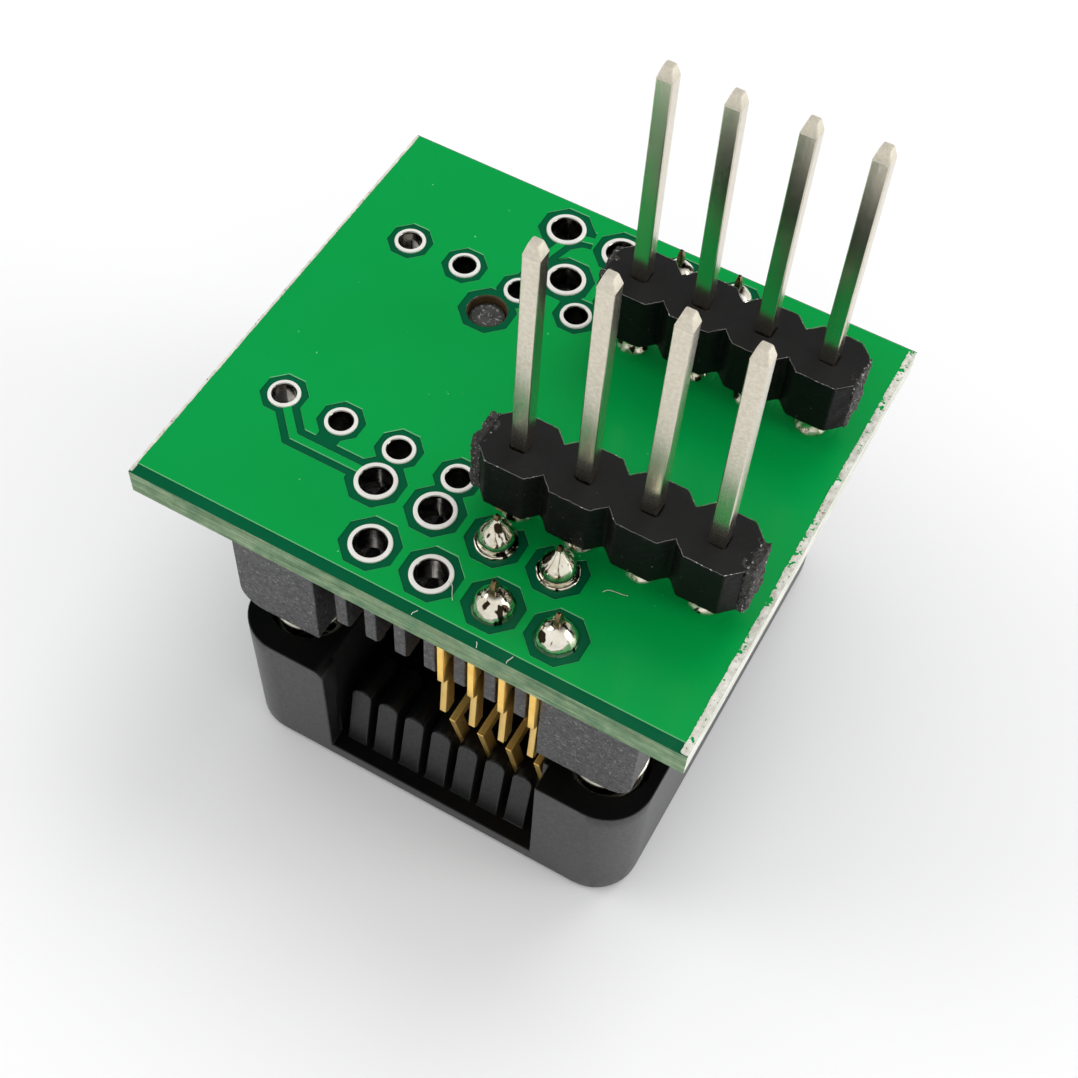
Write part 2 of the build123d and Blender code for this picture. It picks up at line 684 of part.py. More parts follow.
for index, (spring_x, spring_y) in enumerate(SPRING_POINTS, start=1):
    save(cover_spring(spring_x, spring_y), f"cover_spring_{index}")

for side, side_name in ((FRONT, "front"), (BACK, "back")):
    save(header_strip(side), f"header_strip_{side_name}")
    save(header_solder(side), f"header_solder_{side_name}")
    save(socket_solder(side), f"socket_solder_{side_name}")
    for index in range(len(FITTED_HEADERS)):
        save(header_pin(side, index), f"header_pin_{side_name}_{index + 1}")
    for index in range(len(FITTED_CONTACTS)):
        save(contact(side, index), f"contact_{side_name}_{index + 1}")
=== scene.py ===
# %% [markdown]
# # A small chip socket under a green circuit board, upside down on its cover
# The solid parts come from CAD as a fixed frame. This lesson dresses them: it makes the finishes,
# turns and bends the small metal pieces, and sets the floor, the lamps and the camera.

# %% Load the frame
import bpy
from math import pi, radians
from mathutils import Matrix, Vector


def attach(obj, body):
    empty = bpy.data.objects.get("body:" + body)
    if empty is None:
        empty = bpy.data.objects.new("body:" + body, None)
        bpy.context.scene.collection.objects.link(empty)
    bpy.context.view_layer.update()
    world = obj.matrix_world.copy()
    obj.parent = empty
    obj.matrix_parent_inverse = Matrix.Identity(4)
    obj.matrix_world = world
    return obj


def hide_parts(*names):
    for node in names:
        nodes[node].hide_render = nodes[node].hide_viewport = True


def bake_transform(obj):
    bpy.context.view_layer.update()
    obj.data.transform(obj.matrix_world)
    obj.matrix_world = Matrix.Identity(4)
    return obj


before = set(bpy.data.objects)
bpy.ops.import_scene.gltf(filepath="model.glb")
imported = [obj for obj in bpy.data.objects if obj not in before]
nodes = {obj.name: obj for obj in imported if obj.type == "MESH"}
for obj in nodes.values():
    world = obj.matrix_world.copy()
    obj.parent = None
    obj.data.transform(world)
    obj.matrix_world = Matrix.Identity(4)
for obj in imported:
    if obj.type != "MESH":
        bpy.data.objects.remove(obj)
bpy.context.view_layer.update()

MM = 0.001

# %% [markdown]
# ## Where the camera stands
# The photograph looks down at the board from the front and a little from its right. The place and
# the turn were worked out from the even spacing of the pins and holes, so the lens is set to match
# and nothing is shifted.

# %% Camera
camera_data = bpy.data.cameras.new("camera")
camera_data.sensor_width = 36
camera_data.lens = 57.39
camera_data.clip_start = 0.005
camera_data.clip_end = 5
camera = bpy.data.objects.new("camera", camera_data)
camera.location = (0.017429, -0.035865, 0.067177)
camera.rotation_euler = (radians(33.1286), radians(-2.4672), radians(29.1239))
bpy.context.scene.collection.objects.link(camera)
bpy.context.scene.camera = camera
print("lens in mm:", camera_data.lens)

# %% [markdown]
# ## Colours and nodes in a few words
# Colours are read off in the 0 to 255 numbers of a screen, and shaders want linear light, so one
# helper converts them. The others add a node with its values, join two sockets and do sums with
# them, which keeps each finish below short enough to read in one go.

# %% Helpers for finishes
def shade(red, green, blue):
    """Screen colour in 0 to 255 numbers, as linear light."""
    steps = [channel / 255 for channel in (red, green, blue)]
    linear = [step / 12.92 if step < 0.0405 else ((step + 0.055) / 1.055) ** 2.4 for step in steps]
    return (*linear, 1.0)


def put(tree, kind, **values):
    """Add a node. Names that start with set_ are its own settings, and the others its inputs."""
    node = tree.nodes.new(kind)
    for name, value in values.items():
        if name.startswith("set_"):
            setattr(node, name[4:], value)
        else:
            node.inputs[name.replace("_", " ")].default_value = value
    return node


def join(tree, source, target):
    tree.links.new(source, target)


def maths(tree, operation, first, second=0.0):
    """A maths node on one or two terms, each of which may be a socket or a fixed number."""
    node = put(tree, "ShaderNodeMath", set_operation=operation)
    for socket, term in zip(node.inputs, (first, second)):
        if isinstance(term, float):
            socket.default_value = term
        else:
            join(tree, term, socket)
    return node.outputs[0]


def new_finish(name, **values):
    """A material with one Principled shader, whose plain values are set on its own sockets."""
    material = bpy.data.materials.new(name)
    material.use_nodes = True
    shader = material.node_tree.nodes["Principled BSDF"]
    for key, value in values.items():
        shader.inputs[key.replace("_", " ")].default_value = value
    return material, material.node_tree, shader


def ramp(tree, low, high, low_colour, high_colour):
    """A colour ramp with two stops."""
    node = tree.nodes.new("ShaderNodeValToRGB")
    node.color_ramp.elements[0].position = low
    node.color_ramp.elements[0].color = low_colour
    node.color_ramp.elements[1].position = high
    node.color_ramp.elements[1].color = high_colour
    return node


BLACK = (0.0, 0.0, 0.0, 1.0)
WHITE = (1.0, 1.0, 1.0, 1.0)

# %% [markdown]
# ## Effects that several finishes share
# Plastic, laminate and metal all need broken colour and a fine grain. Each effect is a node group
# that is built once: mottle mixes two colours by soft noise, specks keeps only its peaks, and
# grain turns noise into a bumpy normal. Scales count per metre, because the object is tiny.

# %% Mottle
def new_group(name, inputs, outputs):
    group = bpy.data.node_groups.new(name, "ShaderNodeTree")
    for label, kind, value in inputs:
        socket = group.interface.new_socket(label, in_out="INPUT", socket_type=f"NodeSocket{kind}")
        socket.default_value = value
    for label, kind in outputs:
        group.interface.new_socket(label, in_out="OUTPUT", socket_type=f"NodeSocket{kind}")
    start = group.nodes.new("NodeGroupInput")
    end = group.nodes.new("NodeGroupOutput")
    return group, start, end


def mottle_group():
    group, start, end = new_group(
        "mottle",
        [("Colour A", "Color", BLACK), ("Colour B", "Color", WHITE),
         ("Scale", "Float", 400.0), ("Contrast", "Float", 0.25)],
        [("Colour", "Color"), ("Mask", "Float")])
    place = put(group, "ShaderNodeTexCoord")
    noise = put(group, "ShaderNodeTexNoise", Detail=6.0, Roughness=0.6)
    spread = put(group, "ShaderNodeMapRange", set_clamp=True)
    mix = put(group, "ShaderNodeMix", set_data_type="RGBA")
    join(group, place.outputs["Object"], noise.inputs["Vector"])
    join(group, start.outputs["Scale"], noise.inputs["Scale"])
    join(group, noise.outputs["Fac"], spread.inputs["Value"])
    join(group, maths(group, "SUBTRACT", 0.5, start.outputs["Contrast"]), spread.inputs["From Min"])
    join(group, maths(group, "ADD", 0.5, start.outputs["Contrast"]), spread.inputs["From Max"])
    join(group, spread.outputs["Result"], mix.inputs["Factor"])
    join(group, start.outputs["Colour A"], mix.inputs["A"])
    join(group, start.outputs["Colour B"], mix.inputs["B"])
    join(group, mix.outputs["Result"], end.inputs["Colour"])
    join(group, spread.outputs["Result"], end.inputs["Mask"])
    return group


MOTTLE = mottle_group()
print("mottle nodes:", len(MOTTLE.nodes))

# %% [markdown]
# Specks are for glass, dust and burnt flux, and grain is for tool marks and rough skin. Both use a
# noise that can be drawn out along one axis.

# %% Specks and grain
def stretched_noise(group, start, detail, roughness):
    """Noise in the object's own space, drawn out by the group's Stretch."""
    place = put(group, "ShaderNodeTexCoord")
    pull = put(group, "ShaderNodeVectorMath", set_operation="MULTIPLY")
    noise = put(group, "ShaderNodeTexNoise", Detail=detail, Roughness=roughness)
    join(group, place.outputs["Object"], pull.inputs[0])
    join(group, start.outputs["Stretch"], pull.inputs[1])
    join(group, pull.outputs["Vector"], noise.inputs["Vector"])
    join(group, start.outputs["Scale"], noise.inputs["Scale"])
    return noise.outputs["Fac"]


SPECK_SOFTNESS = 0.035


def specks_group():
    group, start, end = new_group(
        "specks",
        [("Scale", "Float", 900.0), ("Level", "Float", 0.68),
         ("Stretch", "Vector", (1.0, 1.0, 1.0))],
        [("Mask", "Float")])
    peaks = put(group, "ShaderNodeMapRange", set_clamp=True)
    full = maths(group, "ADD", start.outputs["Level"], SPECK_SOFTNESS)
    join(group, stretched_noise(group, start, 2.0, 0.7), peaks.inputs["Value"])
    join(group, start.outputs["Level"], peaks.inputs["From Min"])
    join(group, full, peaks.inputs["From Max"])
    join(group, peaks.outputs["Result"], end.inputs["Mask"])
    return group


def grain_group():
    group, start, end = new_group(
        "grain",
        [("Scale", "Float", 3000.0), ("Stretch", "Vector", (1.0, 1.0, 1.0)),
         ("Strength", "Float", 0.3), ("Depth", "Float", 0.00002)],
        [("Normal", "Vector"), ("Mask", "Float")])
    bump = put(group, "ShaderNodeBump")
    noise = stretched_noise(group, start, 4.0, 0.6)
    join(group, start.outputs["Strength"], bump.inputs["Strength"])
    join(group, start.outputs["Depth"], bump.inputs["Distance"])
    join(group, noise, bump.inputs["Height"])
    join(group, bump.outputs["Normal"], end.inputs["Normal"])
    join(group, noise, end.inputs["Mask"])
    return group


SPECKS = specks_group()
GRAIN = grain_group()
print("shared groups:", [group.name for group in bpy.data.node_groups])

# %% [markdown]
# Two more helpers put a group into a material and lay one thing over another by a mask.

# %% Placing and mixing
def place_group(tree, group, **values):
    """Put a shared group into a material, with values for its named inputs."""
    return put(tree, "ShaderNodeGroup", set_node_tree=group, **values)


def mix_in(tree, mask, under, over, kind="RGBA"):
    """Lay one colour, number or normal over another by a mask. Each may be a socket or fixed."""
    mix = put(tree, "ShaderNodeMix", set_data_type=kind)
    join(tree, mask, mix.inputs["Factor"])
    for value, name in ((under, "A"), (over, "B")):
        if isinstance(value, (tuple, float)):
            mix.inputs[name].default_value = value
        else:
            join(tree, value, mix.inputs[name])
    return mix.outputs["Result"]


# %% [markdown]
# ## Green mask over copper, and over bare laminate
# The board is brushed copper under a thin green lacquer. Where copper lies below, the lacquer
# glows bright green, and over bare laminate it looks darker. So the copper layer and the board get
# a bright and a dark version of one recipe: green, a faint mottle, few dust specks and a wet coat.

# %% Lacquer on copper
def mask_finish(name, green_a, green_b, dust, level):
    material, tree, shader = new_finish(
        name, Roughness=0.24, Specular_IOR_Level=0.22, Coat_Weight=0.08, Coat_Roughness=0.08)
    mottle = place_group(tree, MOTTLE, Colour_A=green_a, Colour_B=green_b, Scale=160.0, Contrast=0.35)
    specks = place_group(tree, SPECKS, Scale=2600.0, Level=level)
    grain = place_group(tree, GRAIN, Scale=9000.0, Strength=0.1, Depth=0.000005)
    colour = mix_in(tree, specks.outputs["Mask"], mottle.outputs["Colour"], dust)
    join(tree, colour, shader.inputs["Base Color"])
    join(tree, grain.outputs["Normal"], shader.inputs["Normal"])
    return material, tree, shader, colour


def normal_axes(tree):
    """The direction in which a face looks, as its X, Y and Z."""
    facing = put(tree, "ShaderNodeNewGeometry")
    axes = put(tree, "ShaderNodeSeparateXYZ")
    join(tree, facing.outputs["True Normal"], axes.inputs["Vector"])
    return axes.outputs


def level_faces(tree, least):
    """A mask for faces that look up or down by more than this, where 1.0 is straight."""
    upright = maths(tree, "ABSOLUTE", normal_axes(tree)["Z"])
    return maths(tree, "GREATER_THAN", upright, least)


def copper_finish():
    """Bright green, and paler on the faces that look to the front, which is a painted highlight on the
    edges of the copper.
    """
    material, tree, shader, green = mask_finish(
        "green_mask_on_copper", shade(0, 150, 62), shade(0, 153, 72), shade(120, 215, 160), 0.745)
    front = maths(tree, "LESS_THAN", normal_axes(tree)["Y"], -0.3)
    join(tree, mix_in(tree, front, green, shade(110, 190, 132)), shader.inputs["Base Color"])
    return material


copper_mask = copper_finish()
print("finish on copper:", copper_mask.name)

# %% [markdown]
# Between the copper the board is dark green. Its cut edges are pale resin with streaks of glass fibre, and
# the front one is painted darker and greener, as painted shade with a painted green reflection of the
# lacquer.

# %% Lacquer on laminate
def board_finish():
    material, tree, shader, green = mask_finish(
        "laminate_with_mask", shade(0, 80, 48), shade(2, 96, 60), shade(20, 130, 84), 0.765)
    flat = level_faces(tree, 0.5)
    front = maths(tree, "LESS_THAN", normal_axes(tree)["Y"], -0.5)
    fibres = place_group(
        tree, GRAIN, Scale=1500.0, Stretch=(0.3, 0.3, 5.0), Strength=0.9, Depth=0.00006)
    resin = place_group(
        tree, MOTTLE, Colour_A=shade(236, 234, 226), Colour_B=shade(252, 252, 248), Scale=1200.0,
        Contrast=0.2)
    # The front cut edge gets darker, greener colours: painted shade with a painted green reflection of the
    # lacquer.
    painted_front_shade = place_group(
        tree, MOTTLE, Colour_A=shade(96, 136, 104), Colour_B=shade(160, 182, 146), Scale=1400.0,
        Contrast=0.22)
    cut = mix_in(tree, front, resin.outputs["Colour"], painted_front_shade.outputs["Colour"])
    streaks = ramp(tree, 0.35, 0.7, WHITE, shade(150, 158, 132))
    join(tree, fibres.outputs["Mask"], streaks.inputs["Fac"])
    streaked = put(tree, "ShaderNodeMix", set_data_type="RGBA", set_blend_type="MULTIPLY", Factor=0.75)
    join(tree, cut, streaked.inputs["A"])
    join(tree, streaks.outputs["Color"], streaked.inputs["B"])
    join(tree, mix_in(tree, flat, streaked.outputs["Result"], green), shader.inputs["Base Color"])
    rough = put(tree, "ShaderNodeMapRange", To_Min=0.8, To_Max=0.22)
    join(tree, flat, rough.inputs["Value"])
    join(tree, rough.outputs["Result"], shader.inputs["Roughness"])
    join(tree, maths(tree, "MULTIPLY", flat, 0.1), shader.inputs["Coat Weight"])
    brushed = shader.inputs["Normal"].links[0].from_socket
    turned_normal = mix_in(tree, flat, fibres.outputs["Normal"], brushed, kind="VECTOR")
    join(tree, turned_normal, shader.inputs["Normal"])
    return material


board_material = board_finish()
print("finish on laminate:", board_material.name)

# %% [markdown]
# ## Black and grey mouldings
# The socket is moulded in a black plastic with glass in it, which scatters tiny light specks. The
# base looks mid grey and dull, the cover darker and smoother. The header strips are near black with
# a satin skin.

# %% Plastic finishes
def plastic_finish(name, dark, light, speck, roughness, level, bump, specular, scale=1500.0, contrast=0.3):
    """A mottle from dark to light with specks above a noise level, over a bumpy grain."""
    material, tree, shader = new_finish(name, Roughness=roughness, Specular_IOR_Level=specular)
    mottle = place_group(
        tree, MOTTLE, Colour_A=shade(*dark), Colour_B=shade(*light), Scale=scale, Contrast=contrast)
    specks = place_group(tree, SPECKS, Scale=8000.0, Level=level)
    grain = place_group(tree, GRAIN, Scale=7000.0, Strength=bump, Depth=0.00002)
    colour = mix_in(tree, specks.outputs["Mask"], mottle.outputs["Colour"], shade(*speck))
    join(tree, colour, shader.inputs["Base Color"])
    join(tree, grain.outputs["Normal"], shader.inputs["Normal"])
    return material


base_material = plastic_finish(
    "glass_filled_grey", (8, 8, 9), (66, 66, 67), (112, 112, 112),
    roughness=0.46, level=0.62, bump=1.0, specular=0.65, scale=7000.0, contrast=0.13)
cover_material = plastic_finish(
    "moulded_dark_grey", (8, 9, 9), (14, 15, 15), (50, 50, 50),
    roughness=0.42, level=0.7, bump=0.25, specular=0.2)
strip_material = plastic_finish(
    "satin_black", (9, 9, 9), (18, 18, 18), (150, 150, 152),
    roughness=0.45, level=0.74, bump=0.6, specular=0.1)
# The pale bead along the tops of the strips stands for rubbing wear and a painted edge highlight.
edge_material = plastic_finish(
    "rubbed_edge_and_painted_highlight", (22, 22, 22), (136, 134, 130), (206, 204, 198),
    roughness=0.4, level=0.62, bump=0.6, specular=0.5, scale=2500.0)
broken_material = plastic_finish(
    "broken_black", (12, 12, 12), (72, 70, 67), (190, 187, 180),
    roughness=0.6, level=0.64, bump=1.0, specular=0.4, scale=4500.0)
torn_laminate_material = plastic_finish(
    "torn_laminate", (176, 172, 156), (244, 243, 236), (120, 116, 98),
    roughness=0.75, level=0.64, bump=1.0, specular=0.3, scale=2600.0)
cropped_material = plastic_finish(
    "cropped_grey", (46, 46, 45), (84, 84, 82), (146, 146, 140),
    roughness=0.5, level=0.6, bump=1.0, specular=0.5)
flux_gum_material = plastic_finish(
    "dried_flux", (96, 84, 36), (168, 150, 84), (214, 204, 160),
    roughness=0.25, level=0.66, bump=0.6, specular=0.6)
burnt_resin_material = plastic_finish(
    "browned_resin", (22, 16, 9), (88, 66, 34), (140, 116, 70),
    roughness=0.5, level=0.7, bump=0.6, specular=0.4)
print("finishes so far:", len(bpy.data.materials))

# %% [markdown]
# Walls that slid along the mould have a grainy sheen, and level faces stay dull. The tops of the strips
# are painted lighter as painted light from above, and the level faces of the cover are painted near black
# as painted shade under the board.

# %% Sheen, and painted shade and light on level faces
def skin_on_walls(material, weight):
    tree = material.node_tree
    shader = tree.nodes["Principled BSDF"]
    shader.inputs["Coat Roughness"].default_value = 0.5
    walls = put(tree, "ShaderNodeMapRange", To_Min=weight, To_Max=0.0)
    join(tree, level_faces(tree, 0.5), walls.inputs["Value"])
    grain = place_group(tree, MOTTLE, Scale=6500.0, Contrast=0.14)
    patchy = put(tree, "ShaderNodeMapRange", To_Min=0.66, To_Max=1.0)
    join(tree, grain.outputs["Mask"], patchy.inputs["Value"])
    sheen = maths(tree, "MULTIPLY", walls.outputs["Result"], patchy.outputs["Result"])
    join(tree, sheen, shader.inputs["Coat Weight"])


# Paints a colour over the level faces; it gives painted shade on the cover and painted light on the
# strips.
def painted_top(material, colour):
    tree = material.node_tree
    base = tree.nodes["Principled BSDF"].inputs["Base Color"]
    share = maths(tree, "MULTIPLY", level_faces(tree, 0.6), 0.8)
    join(tree, mix_in(tree, share, base.links[0].from_socket, colour), base)


skin_on_walls(cover_material, 0.86)
# Painted shade: the level faces of the cover are painted near black.
painted_top(cover_material, shade(2, 2, 2))
# Painted light: the tops of the strips are painted lighter.
painted_top(strip_material, shade(41, 41, 41))
print("nodes on the cover:", len(cover_material.node_tree.nodes))

# %% [markdown]
# ## Tin, gold, spring steel and solder
# All four are metals, so the colour is mostly that of the reflection. What sets them apart is how
# they are broken up: the pins carry lengthwise draw lines, the gold is almost clean, the dipped
# rings are matt white, and the solder is nearly a mirror with dark flux stains.

# %% Metal finishes
ALIKE = (1.0, 1.0, 1.0)


def metal_finish(name, bright, dull, roughness, scale, contrast, stretch, bump):
    """A metal that is broken up between a bright and a dull colour, with a stretched grain."""
    material, tree, shader = new_finish(name, Metallic=1.0, Roughness=roughness)
    mottle = place_group(
        tree, MOTTLE, Colour_A=shade(*bright), Colour_B=shade(*dull), Scale=scale, Contrast=contrast)
    grain = place_group(tree, GRAIN, Scale=4000.0, Stretch=stretch, Strength=bump, Depth=0.00001)
    rough = put(tree, "ShaderNodeMapRange", To_Min=roughness * 0.8, To_Max=roughness * 1.3)
    join(tree, mottle.outputs["Mask"], rough.inputs["Value"])
    join(tree, rough.outputs["Result"], shader.inputs["Roughness"])
    join(tree, mottle.outputs["Colour"], shader.inputs["Base Color"])
    join(tree, grain.outputs["Normal"], shader.inputs["Normal"])
    return material


pin_material = metal_finish(
    "tinned_pin", (228, 221, 205), (204, 196, 178),
    roughness=0.2, scale=9000.0, contrast=0.25, stretch=(1.0, 1.0, 0.1), bump=0.85)


def dull_the_tips(material):
    """Drawn sides stay shiny, and faces that lean towards the sky are sheared and dull."""
    tree = material.node_tree
    shader = tree.nodes["Principled BSDF"]
    tips = level_faces(tree, 0.12)
    drawn = shader.inputs["Roughness"].links[0].from_socket
    join(tree, mix_in(tree, tips, drawn, 0.6, kind="FLOAT"), shader.inputs["Roughness"])
    plain = put(tree, "ShaderNodeMapRange", To_Min=1.0, To_Max=0.35)
    join(tree, tips, plain.inputs["Value"])
    join(tree, plain.outputs["Result"], shader.inputs["Metallic"])


dull_the_tips(pin_material)
gold_material = metal_finish(
    "gold_plate", (255, 220, 130), (238, 190, 98),
    roughness=0.3, scale=1200.0, contrast=0.3, stretch=ALIKE, bump=0.15)
spring_material = metal_finish(
    "spring_wire", (200, 198, 186), (160, 156, 142),
    roughness=0.3, scale=2500.0, contrast=0.3, stretch=ALIKE, bump=0.15)
tin_material = metal_finish(
    "tinned_copper_ring", (253, 252, 248), (238, 235, 226),
    roughness=0.42, scale=2600.0, contrast=0.25, stretch=ALIKE, bump=0.3)
for metal, metallic in ((gold_material, 0.85), (tin_material, 0.2)):
    metal.node_tree.nodes["Principled BSDF"].inputs["Metallic"].default_value = metallic
barrel_material = metal_finish(
    "plated_barrel", (176, 172, 164), (70, 68, 64),
    roughness=0.16, scale=900.0, contrast=0.12, stretch=(3.0, 3.0, 0.25), bump=0.6)
flux_material = metal_finish(
    "flux_stained_tin", (150, 128, 92), (70, 52, 34),
    roughness=0.3, scale=3000.0, contrast=0.15, stretch=ALIKE, bump=0.5)
solder_material = metal_finish(
    "solder", (240, 235, 222), (206, 198, 176),
    roughness=0.14, scale=1500.0, contrast=0.2, stretch=ALIKE, bump=0.3)


def stain(material, colour, scale, level):
    """Lay dark patches of burnt flux over a metal."""
    tree = material.node_tree
    base = tree.nodes["Principled BSDF"].inputs["Base Color"]
    patches = place_group(tree, SPECKS, Scale=scale, Level=level, Stretch=(1.0, 1.0, 0.4))
    join(tree, mix_in(tree, patches.outputs["Mask"], base.links[0].from_socket, colour), base)


stain(solder_material, shade(40, 34, 24), scale=1700.0, level=0.558)
print("finishes in all:", len(bpy.data.materials))

# %% [markdown]
# ## Give every solid part its finish
# A solid keeps its shape and gets a material in its own slot. The names of the solids say what they
# are, so the start of a name picks the finish.

# %% Finishes on the solids
FINISH_OF = {
    "circuit_board": board_material,
    "copper_pour": copper_mask,
    "hole_pads": tin_material,
    "socket_base": base_material,
    "socket_cover": cover_material,
    "contact": gold_material,
    "cover_spring": spring_material,
    "header_strip": strip_material,
    "header_pin": pin_material,
    "header_solder": solder_material,
    "socket_solder": solder_material,
}
for name, node in nodes.items():
    finish = next(FINISH_OF[start] for start in FINISH_OF if name.startswith(start))
    node.data.materials.clear()
    node.data.materials.append(finish)
print("solids with a finish:", len(nodes))

# %% [markdown]
# ## Helpers for making pieces
# An operator works on whatever is selected, so each step first selects one object only. A finished piece
# then rides on the body that it moves with, and the solids that it stands for are hidden. Points nearer
# than SAME_POINT are merged, and a cut snaps to points within CUT_LIMIT.

# %% Helpers for pieces
SAME_POINT = 0.001 * MM
CUT_LIMIT = 0.0001 * MM


def only(piece):
    """Select this object and nothing else."""
    bpy.ops.object.select_all(action="DESELECT")
    piece.select_set(True)
    bpy.context.view_layer.objects.active = piece


def edit_all(piece):
    """Go into edit mode with the whole mesh selected."""
    only(piece)
    bpy.ops.object.mode_set(mode="EDIT")
    bpy.ops.mesh.select_all(action="SELECT")


def just_added(name):
    """Name the object that an operator has just added."""
    piece = bpy.context.active_object
    piece.name = name
    return piece


def apply_all(piece):
    """Apply every modifier, top first."""
    only(piece)
    for modifier in list(piece.modifiers):
        bpy.ops.object.modifier_apply(modifier=modifier.name)


def settle(piece, body, material, replaced=()):
    """Put the piece on its body with its finish, and hide the solids that it stands for."""
    only(piece)
    bpy.ops.object.transform_apply()
    piece.data.materials.clear()
    piece.data.materials.append(material)
    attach(piece, body)
    if replaced:
        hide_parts(*replaced)
    return piece


def solid_copy(node_name, piece_name):
    """A copy of a solid with its points merged, in edit mode with the whole mesh selected."""
    piece = bpy.data.objects.new(piece_name, nodes[node_name].data.copy())
    bpy.context.scene.collection.objects.link(piece)
    edit_all(piece)
    bpy.ops.mesh.remove_doubles(threshold=SAME_POINT)
    return piece


def soft_edged(node_name, piece_name, width, limit=32):
    """A copy of a solid whose sharp edges are rounded over, as a mould or a stamp leaves them."""
    piece = solid_copy(node_name, piece_name)
    bpy.ops.mesh.dissolve_limited(angle_limit=radians(0.5))
    bpy.ops.object.mode_set(mode="OBJECT")
    bevel = piece.modifiers.new("rounding", "BEVEL")
    bevel.width = width * MM
    bevel.segments = 2
    bevel.limit_method = "ANGLE"
    bevel.angle_limit = radians(limit)
    bevel.use_clamp_overlap = False
    apply_all(piece)
    bpy.ops.object.shade_smooth_by_angle(angle=radians(38))
    weighted = piece.modifiers.new("flat_faces", "WEIGHTED_NORMAL")
    weighted.weight = 100
    weighted.keep_sharp = True
    apply_all(piece)
    return piece


# %% [markdown]
# ## Rounded edges on the mouldings and the stamped parts
# No real edge is perfectly sharp, and light catches the small radius. The mouldings, the pins and
# the copper layer are copies of their solids with a narrow bevel, whose normals are weighted by
# area so that the flat faces stay flat.

# %% Soft-edged copies
shell = soft_edged("socket_cover", "cover_shell", width=0.07)
settle(shell, "cover", cover_material, ["socket_cover"])
moulding = soft_edged("socket_base", "base_moulding", width=0.06)
settle(moulding, "adapter", base_material, ["socket_base"])
layer = soft_edged("copper_pour", "copper_layer", width=0.03)
settle(layer, "adapter", copper_mask, ["copper_pour"])
for side in ("front", "back"):
    for number in range(1, 5):
        pin = soft_edged(f"header_pin_{side}_{number}", f"pin_{side}_{number}", width=0.06)
        settle(pin, "adapter", pin_material, [f"header_pin_{side}_{number}"])
print("faces of the cover's shell:", len(shell.data.polygons))

# %% [markdown]
# ## Places that repeat
# Header holes are 2.54 mm apart and contact holes 1.27 mm, so every small piece can be placed from
# a few numbers in millimetres. Each row has eight places, and the last four are fitted. The contact
# tails are staggered: even places are near the middle at the front and far out at the back.

# %% Places of holes and pins
SIDES = {"front": -1, "back": 1}
BOARD_TOP = 15.4
BOARD_HALF = 11.43
BOARD_Y = -0.165
MIDDLE_PLACE = 3.5
HEADER_X = 0.34
HEADER_Y = 0.1
HEADER_PITCH = 2.54
HEADER_ROW = 4.55
SOCKET_X = 1.0
CONTACT_PITCH = 1.27
INNER_ROW = 6.1
OUTER_ROW = 8.5
EMPTY = range(4)
FITTED = range(4, 8)


def header_place(side, place):
    x = HEADER_X + (place - MIDDLE_PLACE) * HEADER_PITCH
    return x, HEADER_Y + SIDES[side] * HEADER_ROW, BOARD_TOP


def contact_place(side, place):
    inner = (place % 2 == 0) == (side == "front")
    x = SOCKET_X + (place - MIDDLE_PLACE) * CONTACT_PITCH
    return x, SIDES[side] * (INNER_ROW if inner else OUTER_ROW), BOARD_TOP


small_empty = [header_place(side, place) for side in SIDES for place in EMPTY]
large_empty = [contact_place(side, place) for side in SIDES for place in EMPTY]
small_fitted = {side: [header_place(side, place) for place in FITTED] for side in SIDES}
large_fitted = {side: [contact_place(side, place) for place in FITTED] for side in SIDES}
print("empty holes:", len(small_empty) + len(large_empty))

# %% [markdown]
# ## Turning and copying
# Rings, barrels, domes and pegs are all round. A circle is extruded upwards step by step and
# resized at each step, which is how a lathe profile is drawn by hand. One finished piece is then
# copied to its places and joined into one object.

# %% Lathe and copy helpers
def turned(name, profile, sides=40, hollow=False, smooth=60):
    """Turn (radius, height) steps in mm. A hollow profile ends where it began."""
    radius, height = profile[0]
    bpy.ops.mesh.primitive_circle_add(
        vertices=sides, radius=radius * MM, fill_type="NOTHING" if hollow else "NGON", location=(0, 0, 0))
    piece = just_added(name)
    edit_all(piece)
    bpy.ops.transform.translate(value=(0, 0, height * MM))
    for next_radius, next_height in profile[1:]:
        rise = (0, 0, (next_height - height) * MM)
        bpy.ops.mesh.extrude_region_move(TRANSFORM_OT_translate={"value": rise})
        grow = next_radius / radius
        bpy.ops.transform.resize(value=(grow, grow, 1), center_override=(0, 0, next_height * MM))
        radius, height = next_radius, next_height
    bpy.ops.mesh.select_all(action="SELECT")
    bpy.ops.mesh.remove_doubles(threshold=0.0005 * MM)
    bpy.ops.mesh.normals_make_consistent(inside=False)
    bpy.ops.object.mode_set(mode="OBJECT")
    bpy.ops.object.shade_smooth_by_angle(angle=radians(smooth))
    return piece


def copied(piece, places):
    """Copies of the piece at these places in mm, joined into one object. The piece itself goes."""
    made = []
    for place in places:
        only(piece)
        bpy.ops.object.duplicate()
        copy = bpy.context.active_object
        copy.location = Vector(place) * MM
        made.append(copy)
    name = piece.name
    bpy.data.objects.remove(piece)
    return joined(name, made)


def joined(name, pieces):
    """Several objects joined into one with its place in its mesh."""
    bpy.ops.object.select_all(action="DESELECT")
    for piece in pieces:
        piece.select_set(True)
    bpy.context.view_layer.objects.active = pieces[0]
    bpy.ops.object.transform_apply()
    if len(pieces) > 1:
        bpy.ops.object.join()
    pieces[0].name = name
    return pieces[0]


